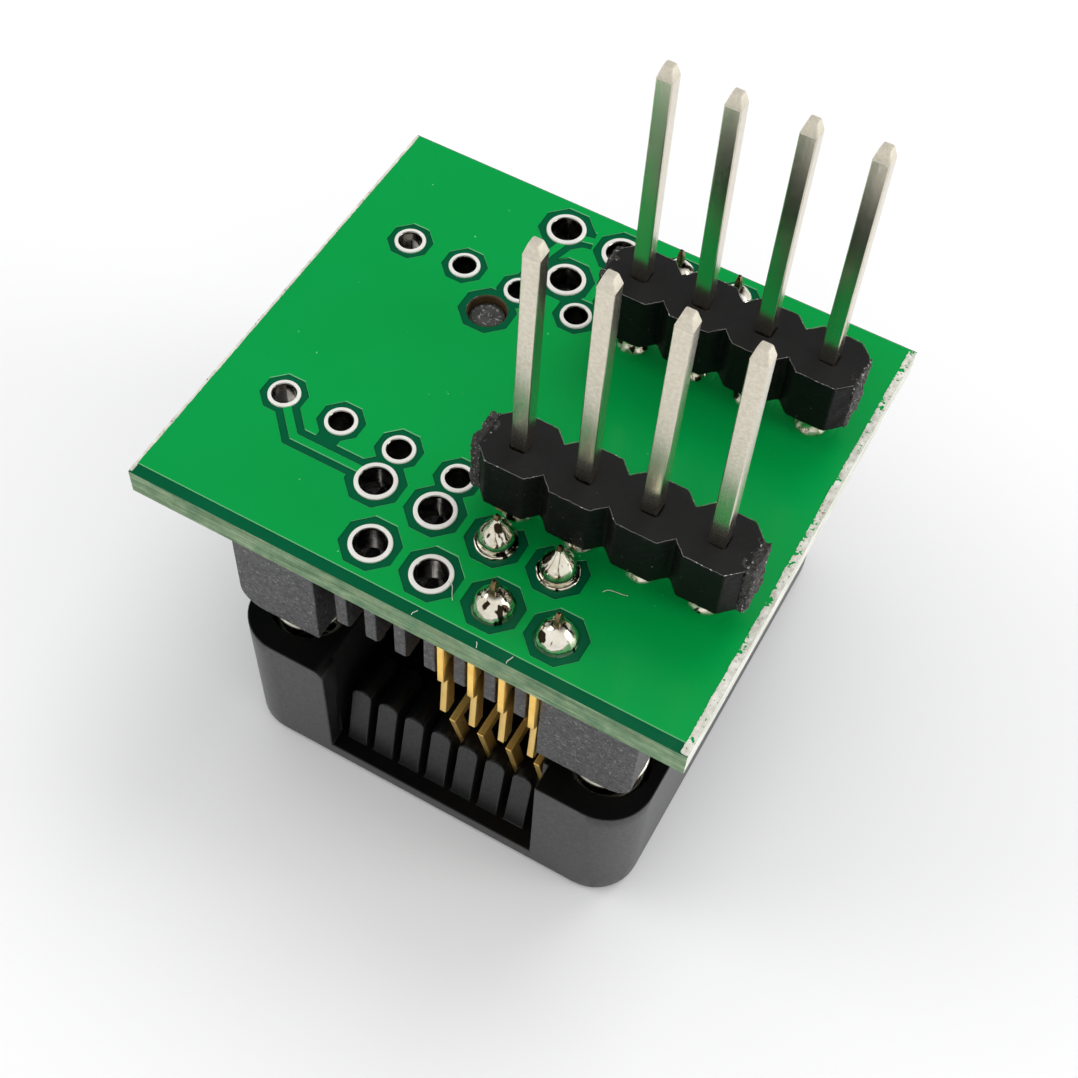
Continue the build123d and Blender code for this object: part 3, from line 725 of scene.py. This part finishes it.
def lumpy(piece, amount, size):
    """Push the surface in and out by soft noise, so that no two copies are the same."""
    clouds = bpy.data.textures.new(f"{piece.name}_lumps", "CLOUDS")
    clouds.noise_scale = size * MM
    displace = piece.modifiers.new("lumps", "DISPLACE")
    displace.texture = clouds
    displace.texture_coords = "GLOBAL"
    displace.strength = amount * MM
    apply_all(piece)
    return piece


# %% [markdown]
# ## Plated holes
# A plated hole is a thin metal tube through the board with a flat ring on top, tinned by dipping.
# The lip where tube and ring meet is rounded by the tin, and it gives the bright circle in the
# photograph, while the tube below it mirrors the dark above. Ring and tube are turned apart.

# %% Rings and barrels
SMALL_HOLE = 0.47
SMALL_PAD = 0.64
LARGE_HOLE = 0.625
LARGE_PAD = 0.82
BARREL_END = -1.17


def pad_ring(name, hole, pad):
    """A flat ring whose outer edge is rounded over. Radii are in mm."""
    return turned(name, [
        (hole + 0.022, 0.0), (hole + 0.026, 0.086), (pad - 0.04, 0.092), (pad - 0.012, 0.078),
        (pad, 0.04), (pad, -0.01), (hole + 0.022, -0.012), (hole + 0.022, 0.0)], sides=48, hollow=True)


def barrel(name, hole):
    """A thin tube with a lip that turns outwards over the ring."""
    return turned(name, [
        (hole - 0.02, BARREL_END), (hole - 0.02, -0.04), (hole - 0.01, 0.03), (hole + 0.01, 0.068),
        (hole + 0.035, 0.082), (hole + 0.035, 0.01), (hole + 0.008, -0.06), (hole + 0.008, BARREL_END),
        (hole - 0.02, BARREL_END)], sides=48, hollow=True)


rings = joined("pad_rings", [
    copied(pad_ring("small_rings", SMALL_HOLE, SMALL_PAD), small_empty),
    copied(pad_ring("large_rings", LARGE_HOLE, LARGE_PAD), large_empty)])
settle(lumpy(rings, amount=0.01, size=0.5), "adapter", tin_material, ["hole_pads"])
barrels = joined("hole_barrels", [
    copied(barrel("small_barrels", SMALL_HOLE), small_empty),
    copied(barrel("large_barrels", LARGE_HOLE), large_empty)])
settle(barrels, "adapter", barrel_material)
print("faces of the rings:", len(rings.data.polygons), "and of the barrels:", len(barrels.data.polygons))

# %% [markdown]
# ## Peg tops
# Two plastic pegs hold the socket on the board. Their ends were cropped, so the tops are rough and a
# little crowned. The wall of each hole is browned by flux, which is a thin turned film round the peg.

# %% Locating pegs
PEG_X = 5.06
PEG_Y = 3.1
PEG_PLACES = [(SOCKET_X - PEG_X, PEG_Y, BOARD_TOP), (SOCKET_X + PEG_X, -PEG_Y, BOARD_TOP)]
PEG_TOP = [(0.745, -1.1), (0.745, -0.42), (0.7, -0.36), (0.45, -0.33), (0.15, -0.345)]
FILM = [(0.775, -1.1), (0.775, -0.07), (0.795, -0.02), (0.822, -0.015), (0.822, -1.1), (0.775, -1.1)]
pegs = copied(turned("peg_tops", PEG_TOP, sides=40), PEG_PLACES)
settle(lumpy(pegs, amount=0.03, size=0.12), "adapter", cropped_material)
films = copied(turned("peg_gap_films", FILM, sides=48, hollow=True), PEG_PLACES)
settle(lumpy(films, amount=0.01, size=0.2), "adapter", burnt_resin_material)
print("pegs:", len(PEG_PLACES))

# %% [markdown]
# ## Solder domes on the contact tails
# Each tail was soldered by hand: a wetted foot, a waist, a round belly and a peak that climbs the
# tail. A near-mirror needs a smooth surface, so the profile has many steps, and a little noise makes
# the eight domes differ. Round the header pins the copper runs right up to the solder.

# %% Solder domes and fillets
ROUND_DOME = [
    (0.82, -0.01), (0.82, 0.03), (0.795, 0.1), (0.76, 0.2), (0.715, 0.31), (0.66, 0.42), (0.595, 0.53),
    (0.52, 0.63), (0.44, 0.72), (0.35, 0.8), (0.25, 0.87), (0.15, 0.91), (0.05, 0.93)]
PEAKED_DOME = [
    (0.82, -0.01), (0.81, 0.07), (0.76, 0.1), (0.69, 0.09), (0.66, 0.14), (0.68, 0.24), (0.69, 0.35),
    (0.675, 0.46), (0.64, 0.58), (0.58, 0.71), (0.5, 0.84), (0.41, 0.97), (0.32, 1.1), (0.24, 1.23),
    (0.17, 1.36), (0.12, 1.46)]
FILLET = [
    (0.66, -0.01), (0.66, 0.06), (0.63, 0.14), (0.58, 0.24), (0.52, 0.36), (0.48, 0.5), (0.46, 0.7),
    (0.46, 1.0), (0.46, 1.38)]
FLOODED_PAD = [(0.98, 0.0), (0.98, 0.036), (0.96, 0.041), (0.4, 0.041)]
for side in SIDES:
    inner = [place for place in large_fitted[side] if abs(place[1]) == INNER_ROW]
    outer = [place for place in large_fitted[side] if abs(place[1]) == OUTER_ROW]
    domes = joined(f"solder_domes_{side}", [
        copied(turned("peaked", PEAKED_DOME, sides=56), inner),
        copied(turned("round", ROUND_DOME, sides=56), outer)])
    domes = lumpy(lumpy(domes, amount=0.08, size=0.7), amount=0.05, size=0.22)
    settle(domes, "adapter", solder_material, [f"socket_solder_{side}"])
    flooded = copied(turned(f"flooded_pads_{side}", FLOODED_PAD, sides=64), small_fitted[side])
    settle(flooded, "adapter", copper_mask)
    fillets = copied(turned(f"pin_fillets_{side}", FILLET, sides=40), small_fitted[side])
    fillets = lumpy(fillets, amount=0.12, size=0.3)
    settle(fillets, "adapter", solder_material, [f"header_solder_{side}"])
    print(side, "domes:", len(inner) + len(outer), "fillets:", len(small_fitted[side]))

# %% [markdown]
# ## Tips of the tails
# Only the last bit of each contact tail stands out of its dome. It is sheared off at a slant and
# brown with flux, so it is a small bar of its own with a pinched top.

# %% Tail tips
def tail_tip(name):
    """A small upright bar that leans, narrows and ends in a slanting pinch."""
    bpy.ops.mesh.primitive_plane_add(size=1, location=(0, 0, 0))
    piece = just_added(name)
    edit_all(piece)
    bpy.ops.transform.resize(value=(0.26 * MM, 0.4 * MM, 1), center_override=(0, 0, 0))
    bpy.ops.transform.translate(value=(0, 0, 0.75 * MM))
    bpy.ops.mesh.extrude_region_move(TRANSFORM_OT_translate={"value": (-0.02 * MM, 0.04 * MM, 0.65 * MM)})
    bpy.ops.transform.resize(value=(0.85, 0.75, 1), center_override=(0, 0, 1.4 * MM))
    bpy.ops.mesh.extrude_region_move(TRANSFORM_OT_translate={"value": (-0.03 * MM, 0.05 * MM, 0.22 * MM)})
    bpy.ops.transform.resize(value=(0.6, 0.45, 1), center_override=(0, 0, 1.62 * MM))
    bpy.ops.object.mode_set(mode="OBJECT")
    bevel = piece.modifiers.new("rounding", "BEVEL")
    bevel.width = 0.03 * MM
    bevel.segments = 2
    apply_all(piece)
    bpy.ops.object.shade_smooth_by_angle(angle=radians(50))
    return piece


for side in SIDES:
    tips = copied(tail_tip(f"tail_tips_{side}"), large_fitted[side])
    settle(lumpy(tips, amount=0.05, size=0.2), "adapter", flux_material)
    print(side, "tail tips:", len(large_fitted[side]))

# %% [markdown]
# ## Cover springs
# A coil is one round wire section that turns and climbs. The screw modifier does just that to a small
# circle set off from the axis. Each spring spans from the cover to the base, and the real one shortens
# when the cover is pressed.

# %% Springs
SPRING_PLACES = [(SOCKET_X + across, y) for y in (-7.7, 7.7) for across in (-6.85, 6.85)]


def coil(name, x, y, low, high, radius, wire, turns):
    """A closed round wire that climbs from low to high. All in mm."""
    bpy.ops.mesh.primitive_circle_add(
        vertices=12, radius=wire / 2 * MM, location=(0, 0, 0), rotation=(pi / 2, 0, 0))
    piece = just_added(name)
    bpy.ops.object.transform_apply()
    edit_all(piece)
    bpy.ops.transform.translate(value=(radius * MM, 0, 0))
    bpy.ops.object.mode_set(mode="OBJECT")
    screw = piece.modifiers.new("turns", "SCREW")
    screw.axis = "Z"
    screw.iterations = turns
    screw.screw_offset = (high - low - wire) / turns * MM
    screw.steps = 36
    screw.render_steps = 36
    apply_all(piece)
    edit_all(piece)
    bpy.ops.mesh.fill_holes(sides=12)
    bpy.ops.mesh.normals_make_consistent(inside=False)
    bpy.ops.transform.translate(value=(x * MM, y * MM, (low + wire / 2) * MM))
    bpy.ops.object.mode_set(mode="OBJECT")
    bpy.ops.object.shade_smooth()
    return piece


for number, (x, y) in enumerate(SPRING_PLACES, start=1):
    spring = coil(f"spring_{number}", x, y, low=1.92, high=8.88, radius=1.39, wire=0.27, turns=6)
    spring.data.materials.append(spring_material)
    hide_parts(f"cover_spring_{number}")
    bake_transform(spring)
print("springs:", len(SPRING_PLACES), "with faces each:", len(spring.data.polygons))

# %% [markdown]
# ## Contacts in two pieces
# A contact is one stamped blade, but only its lower part moves with the cover. The copy of each blade is
# cut level below the board: the root, the post and the tail ride on the adapter, and the springy arm with
# its finger is a piece of its own.

# %% Cutting a blade
LEVER_CUT = 12.19
TAIL_CUT = 16.2
ARM_BELOW = 7.0


def cut_level(piece, height):
    """Cut a mesh level at this height in mm, close the cuts and give its loose parts."""
    edit_all(piece)
    bpy.ops.mesh.bisect(plane_co=(0, 0, height * MM), plane_no=(0, 0, 1), threshold=CUT_LIMIT)
    bpy.ops.mesh.edge_split(type="EDGE")
    bpy.ops.mesh.select_all(action="SELECT")
    bpy.ops.mesh.fill_holes(sides=0)
    bpy.ops.mesh.separate(type="LOOSE")
    bpy.ops.object.mode_set(mode="OBJECT")
    return list(bpy.context.selected_objects)


def weld_post(post):
    """Shorten the tail, weld the parts of a post and take out the faces inside it."""
    edit_all(post)
    bpy.ops.mesh.bisect(
        plane_co=(0, 0, TAIL_CUT * MM), plane_no=(0, 0, 1), clear_outer=True, threshold=CUT_LIMIT)
    bpy.ops.mesh.select_all(action="SELECT")
    bpy.ops.mesh.fill_holes(sides=0)
    bpy.ops.mesh.remove_doubles(threshold=0.0002 * MM)
    bpy.ops.mesh.select_all(action="DESELECT")
    bpy.ops.mesh.select_interior_faces()
    bpy.ops.mesh.delete(type="FACE")
    bpy.ops.mesh.select_all(action="SELECT")
    bpy.ops.mesh.normals_make_consistent(inside=False)
    bpy.ops.object.mode_set(mode="OBJECT")
    return post


# %% [markdown]
# Every blade is cut and welded in the same way. Its tail ends inside the solder dome, where the
# sheared tip takes over.

# %% Contacts
for side in SIDES:
    for number in range(1, 5):
        node = f"contact_{side}_{number}"
        blade = soft_edged(node, f"blade_{side}_{number}", width=0.035, limit=25)
        parts = cut_level(blade, LEVER_CUT)
        moving = [part for part in parts if min(v.co.z for v in part.data.vertices) < ARM_BELOW * MM]
        fixed = [part for part in parts if part not in moving]
        post = weld_post(joined(f"post_{side}_{number}", fixed))
        settle(post, "adapter", gold_material, [node])
        lever = joined(f"lever_{side}_{number}", moving)
        lever.data.materials.clear()
        lever.data.materials.append(gold_material)
        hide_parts(node)
        x = large_fitted[side][number - 1][0]
        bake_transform(lever)

# %% [markdown]
# ## Header strips
# The strips are cheap mouldings that were snapped and rubbed. An even mesh is laid over the solid, so that
# soft noise can make its skin and its edges a little uneven. The outline of the top face is then drawn
# once more as a hair-thin ragged bead in a pale colour, which is the rubbed edge together with a painted
# highlight on it.

# %% Even mesh and the pale edge bead
STRIP_LEFT = header_place("front", 4)[0] - HEADER_PITCH / 2
STRIP_RIGHT = header_place("front", 7)[0] + HEADER_PITCH / 2
NECK_ROOT = 0.02
NECK_HALF = 0.45


def even_mesh(piece, cell):
    """Lay a new mesh of small even faces over the piece."""
    remesh = piece.modifiers.new("even", "REMESH")
    remesh.mode = "VOXEL"
    remesh.voxel_size = cell * MM
    apply_all(piece)
    return piece


def rubbed_edge_and_painted_highlight(node_name, name, thickness):
    """The outer outline of the top face as a thin ragged bead."""
    piece = solid_copy(node_name, name)
    bpy.ops.mesh.select_all(action="DESELECT")
    bpy.ops.object.mode_set(mode="OBJECT")
    top = max(v.co.z for v in piece.data.vertices)
    for polygon in piece.data.polygons:
        polygon.select = polygon.center.z > top - 0.01 * MM
    bpy.ops.object.mode_set(mode="EDIT")
    bpy.ops.mesh.select_mode(type="FACE")
    bpy.ops.mesh.region_to_loop()
    bpy.ops.mesh.select_mode(type="EDGE")
    bpy.ops.mesh.select_all(action="INVERT")
    bpy.ops.mesh.delete(type="EDGE")
    bpy.ops.mesh.select_mode(type="VERT")
    bpy.ops.mesh.select_all(action="SELECT")
    bpy.ops.mesh.delete_loose(use_verts=True, use_edges=False, use_faces=False)
    bpy.ops.object.mode_set(mode="OBJECT")
    middle = sum(v.co.y for v in piece.data.vertices) / len(piece.data.vertices)
    for vertex in piece.data.vertices:
        x, y = vertex.co.xy / MM
        past_root = x < STRIP_LEFT - NECK_ROOT or x > STRIP_RIGHT + NECK_ROOT
        vertex.select = past_root or abs(y - middle / MM) < NECK_HALF
    bpy.ops.object.mode_set(mode="EDIT")
    bpy.ops.mesh.delete(type="VERT")
    bpy.ops.mesh.select_all(action="SELECT")
    bpy.ops.mesh.subdivide(number_cuts=9)
    bpy.ops.transform.vertex_random(offset=0.02 * MM, seed=5)
    bpy.ops.transform.translate(value=(0, 0, -0.012 * MM))
    bpy.ops.object.mode_set(mode="OBJECT")
    bpy.ops.object.convert(target="CURVE")
    piece = bpy.context.active_object
    piece.data.bevel_depth = thickness * MM
    piece.data.bevel_resolution = 1
    piece.data.use_fill_caps = True
    bpy.ops.object.convert(target="MESH")
    return bpy.context.active_object


def between(piece, left, right):
    """Cut off what lies left and right of these places in mm, and close the cuts."""
    edit_all(piece)
    for place, way in ((left, -1), (right, 1)):
        bpy.ops.mesh.select_all(action="SELECT")
        bpy.ops.mesh.bisect(
            plane_co=(place * MM, 0, 0), plane_no=(way, 0, 0), clear_outer=True, use_fill=True,
            threshold=CUT_LIMIT)
    bpy.ops.object.mode_set(mode="OBJECT")
    return piece


# %% [markdown]
# The plain necks at the ends of each solid strip are cut off first, because torn ones take their
# place in the next step. The noise comes in two sizes, for a wavy face and for a fine grain on it.

# %% Strips
for side in SIDES:
    strip = soft_edged(f"header_strip_{side}", f"strip_{side}", width=0.03)
    strip = between(strip, STRIP_LEFT - NECK_ROOT, STRIP_RIGHT + NECK_ROOT)
    strip = even_mesh(strip, cell=0.07)
    strip = lumpy(lumpy(strip, amount=0.05, size=0.5), amount=0.03, size=0.12)
    bpy.ops.object.shade_smooth_by_angle(angle=radians(35))
    settle(strip, "adapter", strip_material, [f"header_strip_{side}"])
    bead = rubbed_edge_and_painted_highlight(f"header_strip_{side}", f"strip_edge_{side}", thickness=0.014)
    settle(bead, "adapter", edge_material)
    print(side, "strip faces:", len(strip.data.polygons), "edge faces:", len(bead.data.polygons))

# %% [markdown]
# ## Snapped ends of the header strips
# The strips were snapped off a longer one, which leaves a torn neck at each end. A block gets an
# even mesh, and coarse and fine noise push its points about until it looks crumbled.

# %% Torn ends
NECK_LENGTHS = {"front": (0.32, 0.34), "back": (0.16, 0.12)}
NECK_HEIGHT = 2.5
OVERLAP = 0.1


def torn_block(name, centre, size, coarse, fine):
    """A crumbled block. All in mm."""
    bpy.ops.mesh.primitive_cube_add(size=1, location=Vector(centre) * MM, scale=Vector(size) * MM)
    piece = just_added(name)
    bpy.ops.object.transform_apply()
    even_mesh(piece, cell=0.05)
    lumpy(lumpy(piece, amount=coarse, size=0.4), amount=fine, size=0.1)
    bpy.ops.object.shade_smooth_by_angle(angle=radians(30))
    return piece


for side, (left, right) in NECK_LENGTHS.items():
    y = header_place(side, 4)[1]
    left_place = (STRIP_LEFT - left / 2 + OVERLAP, y, 18.07)
    left_end = torn_block(
        "left_end", left_place, (left + 2 * OVERLAP, 1.6, NECK_HEIGHT), coarse=0.22, fine=0.12)
    right_place = (STRIP_RIGHT + right / 2 - OVERLAP, y, 18.05)
    right_end = torn_block(
        "right_end", right_place, (right + 2 * OVERLAP, 1.4, NECK_HEIGHT), coarse=0.22, fine=0.16)
    necks = joined(f"torn_necks_{side}", [left_end, right_end])
    settle(necks, "adapter", broken_material)
    print(side, "torn faces:", len(necks.data.polygons))

# %% [markdown]
# ## Torn sides of the board
# The board was snapped from a panel along its short sides. The lacquer chips off there and pale
# glass fibre shows, widest on the right. A ragged ribbon lies on each of the two sides and is cut
# flush with the board.

# %% Board sides
RIBBON = 20.2
FLUSH = 0.004
right_side = torn_block(
    "right_side", (BOARD_HALF - 0.08, BOARD_Y, 14.83), (0.4, RIBBON, 1.25), coarse=0.08, fine=0.07)
left_side = torn_block(
    "left_side", (0.04 - BOARD_HALF, BOARD_Y, 15.0), (0.16, RIBBON, 0.92), coarse=0.04, fine=0.03)
torn = joined("torn_board_sides", [right_side, left_side])
torn = between(torn, FLUSH - BOARD_HALF, BOARD_HALF - FLUSH)
settle(torn, "adapter", torn_laminate_material)
print("torn faces on the board:", len(torn.data.polygons))

# %% [markdown]
# ## Loose fibres
# Snapping the board frees short glass fibres, thinner than a hair. A few still cling to the front
# edge and to the solder. Each is a small curve with a round section, turned into a mesh.

# %% Fibres
def fibre(x, y, rise, length, turn, lift):
    """One fibre: place, height over the board and length in mm, turn and lift in degrees."""
    bpy.ops.curve.primitive_bezier_curve_add(radius=length / 2 * MM, location=(0, 0, 0))
    piece = bpy.context.active_object
    piece.data.resolution_u = 8
    piece.data.bevel_depth = 0.014 * MM
    piece.data.bevel_resolution = 1
    piece.data.use_fill_caps = True
    bpy.ops.object.convert(target="MESH")
    piece = bpy.context.active_object
    piece.location = Vector((x, y, BOARD_TOP + rise)) * MM
    piece.rotation_euler = (radians(lift), 0, radians(turn))
    return piece


fibres = [
    fibre(6.4, -5.95, rise=0.13, length=0.9, turn=20, lift=12),
    fibre(1.34, -8.8, rise=0.12, length=0.8, turn=-50, lift=14),
    fibre(0.7, -10.18, rise=0.09, length=0.28, turn=70, lift=20),
    fibre(3.2, -10.2, rise=0.08, length=0.24, turn=-60, lift=20),
    fibre(4.5, -10.15, rise=0.1, length=0.36, turn=80, lift=20)]
settle(joined("loose_fibres", fibres), "adapter", torn_laminate_material)
print("fibres:", len(fibres))

# %% [markdown]
# ## A drop of dried flux
# Flux ran along the first pin and set as a yellowish drop between the strip and its solder. It is a
# ball that was flattened and made uneven.

# %% Flux drop
bpy.ops.mesh.primitive_uv_sphere_add(segments=40, ring_count=20, radius=0.5 * MM, location=(0, 0, 0))
drop = just_added("flux_drop")
edit_all(drop)
bpy.ops.transform.resize(value=(1.0, 0.6, 0.32), center_override=(0, 0, 0))
bpy.ops.object.mode_set(mode="OBJECT")
x, y, z = small_fitted["front"][0]
drop.location = Vector((x - 0.1, y - 0.92, z + 1.34)) * MM
bpy.ops.object.transform_apply(location=True)
lumpy(drop, amount=0.08, size=0.3)
bpy.ops.object.shade_smooth()
settle(drop, "adapter", flux_gum_material)
print("drop in mm:", [round(side / MM, 2) for side in drop.dimensions])

# %% [markdown]
# ## Floor, lamps and background
# A plain pale floor runs out past the view. Most light comes from the pale world around, and three
# lamps at the right, the left and the back give it a direction. For reflections only, one patch of
# the sky behind the board is dark, as a room behind a soft box is, so that metal shows depth.

# %% Floor and background
bpy.ops.mesh.primitive_plane_add(size=3, location=(0, 0, 0))
floor = just_added("floor")
floor_material, tree, shader = new_finish("pale_floor", Base_Color=shade(243, 243, 244), Roughness=0.7)
floor.data.materials.append(floor_material)

world = bpy.data.worlds.new("studio")
bpy.context.scene.world = world
world.use_nodes = True
tree = world.node_tree
background = tree.nodes["Background"]
background.inputs["Strength"].default_value = 1.0
direction = put(tree, "ShaderNodeTexCoord")
towards = put(tree, "ShaderNodeVectorMath", set_operation="DOT_PRODUCT")
towards.inputs[1].default_value = Vector((-0.3, 0.55, 0.78)).normalized()
sky = ramp(tree, 0.3, 0.72, (1.0, 1.0, 1.0, 1.0), (0.01, 0.01, 0.01, 1.0))
rays = put(tree, "ShaderNodeLightPath")
join(tree, direction.outputs["Generated"], towards.inputs[0])
join(tree, towards.outputs["Value"], sky.inputs["Fac"])
pale = (0.8, 0.8, 0.8, 1.0)
seen = mix_in(tree, rays.outputs["Is Glossy Ray"], pale, sky.outputs["Color"])
join(tree, seen, background.inputs["Color"])
bpy.context.scene.view_settings.view_transform = "Standard"
print("world nodes:", len(tree.nodes))

# %% [markdown]
# The lamps are wide discs, so that their light is soft, and all of them look at one point just above
# the middle of the floor. The back lamp is kept out of reflections, where its disc would show.

# %% Lamps
LAMP_AIM = Vector((0, 0, 0.01))
LAMP_SIZE = 0.3


def soft_lamp(name, place, power):
    lamp_data = bpy.data.lights.new(name, "AREA")
    lamp_data.shape = "DISK"
    lamp_data.size = LAMP_SIZE
    lamp_data.energy = power
    lamp = bpy.data.objects.new(name, lamp_data)
    lamp.location = place
    lamp.rotation_euler = (LAMP_AIM - Vector(place)).to_track_quat("-Z", "Y").to_euler()
    bpy.context.scene.collection.objects.link(lamp)
    return lamp


soft_lamp("right_window", (0.55, 0.16, 0.16), power=1.15)
soft_lamp("left_window", (-0.4, -0.14, 0.34), power=0.45)
soft_lamp("back_lamp", (0.06, 0.3, 0.5), power=0.85).visible_glossy = False
print("lamps:", len(bpy.data.lights))
